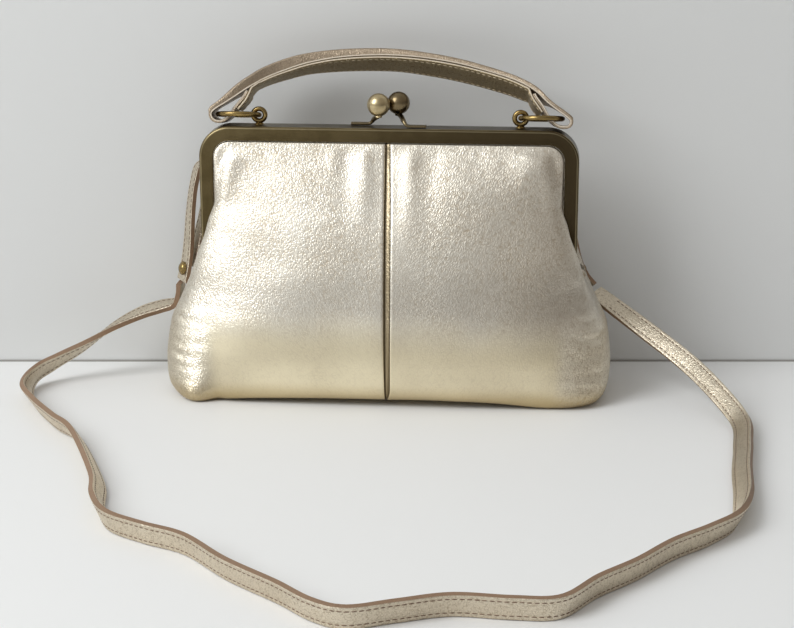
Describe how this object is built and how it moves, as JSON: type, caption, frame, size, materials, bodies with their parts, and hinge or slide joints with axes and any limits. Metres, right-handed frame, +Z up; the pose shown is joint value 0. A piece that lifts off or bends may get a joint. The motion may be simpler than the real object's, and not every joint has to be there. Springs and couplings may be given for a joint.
{
  "type": "shoulder bag",
  "caption": "Small gold leather frame bag with a brass kiss-lock clasp, a short arched handle on rings and a long narrow shoulder strap",
  "frame": {"origin": "middle of the bag's base, on the table", "axes": "X to the bag's right along its width, Y away from its front, Z up"},
  "size_m": [0.3829, 0.3596, 0.1809],
  "materials": {
    "antique_brass": "antique, satin to polished",
    "gold_leather": "metallic foiled, fine pebble grain",
    "lining_cloth": "plain woven",
    "stiff_board": "raw pressed fibre board",
    "paper_cord": "twisted paper cord"
  },
  "bodies": {
    "bag": {"back_frame": "antique_brass", "back_filler_cord": "paper_cord", "hinge_rivet_left": "antique_brass", "hinge_rivet_right": "antique_brass", "front_panel": "gold_leather", "back_panel": "gold_leather", "front_lining": "lining_cloth", "back_lining": "lining_cloth", "base_panel": "gold_leather", "base_board": "stiff_board", "handle_eyelet_left": "antique_brass", "handle_eyelet_right": "antique_brass", "strap_lug_left": "antique_brass", "strap_lug_right": "antique_brass", "shoulder_strap": "gold_leather", "strap_end_loop_left": "gold_leather", "strap_end_loop_right": "gold_leather", "strap_stud_left": "antique_brass", "strap_stud_right": "antique_brass"},
    "front_frame_half": {"front_frame": "antique_brass", "front_filler_cord": "paper_cord"},
    "clasp_left": {"clasp_arm_left": "antique_brass", "clasp_ball_left": "antique_brass"},
    "clasp_right": {"clasp_arm_right": "antique_brass", "clasp_ball_right": "antique_brass"},
    "handle_rings": {"handle_ring_left": "antique_brass", "handle_ring_right": "antique_brass"},
    "handle": {"handle_outer_layer": "gold_leather", "handle_under_layer": "gold_leather"},
    "strap_ring_left": {"strap_ring_left": "antique_brass"},
    "strap_ring_right": {"strap_ring_right": "antique_brass"}
  },
  "joints": [
    {"name": "frame_opening", "type": "hinge", "parent": "bag", "child": "front_frame_half", "pos_m": [0, 0, 0.072], "axis": [1, 0, 0], "range_deg": [0, 85], "deforming": ["front_panel", "front_lining"]},
    {"name": "clasp_flex_left", "type": "hinge", "parent": "bag", "child": "clasp_left", "pos_m": [-0.02, 0.0035, 0.143], "axis": [0, -1, 0], "range_deg": [0, 8], "stiffness_Nm_per_rad": 0.5},
    {"name": "clasp_flex_right", "type": "hinge", "parent": "front_frame_half", "child": "clasp_right", "pos_m": [0.02, -0.0035, 0.143], "axis": [0, 1, 0], "range_deg": [0, 8], "stiffness_Nm_per_rad": 0.5},
    {"name": "ring_tilt", "type": "hinge", "parent": "bag", "child": "handle_rings", "pos_m": [0, 0.0035, 0.1468], "axis": [1, 0, 0], "range_deg": [-4, 12]},
    {"name": "handle_rock", "type": "hinge", "parent": "handle_rings", "child": "handle", "pos_m": [0, 0.0035, 0.1468], "axis": [1, 0, 0], "range_deg": [-1.5, 3.5]},
    {"name": "strap_ring_left_swing", "type": "hinge", "parent": "bag", "child": "strap_ring_left", "pos_m": [-0.095, 0.017, 0.1268], "axis": [0, 1, 0], "range_deg": [-25, 25], "deforming": ["strap_end_loop_left"]},
    {"name": "strap_ring_right_swing", "type": "hinge", "parent": "bag", "child": "strap_ring_right", "pos_m": [0.095, 0.017, 0.1268], "axis": [0, -1, 0], "range_deg": [-6, 30], "deforming": ["strap_end_loop_right"]}
  ]
}
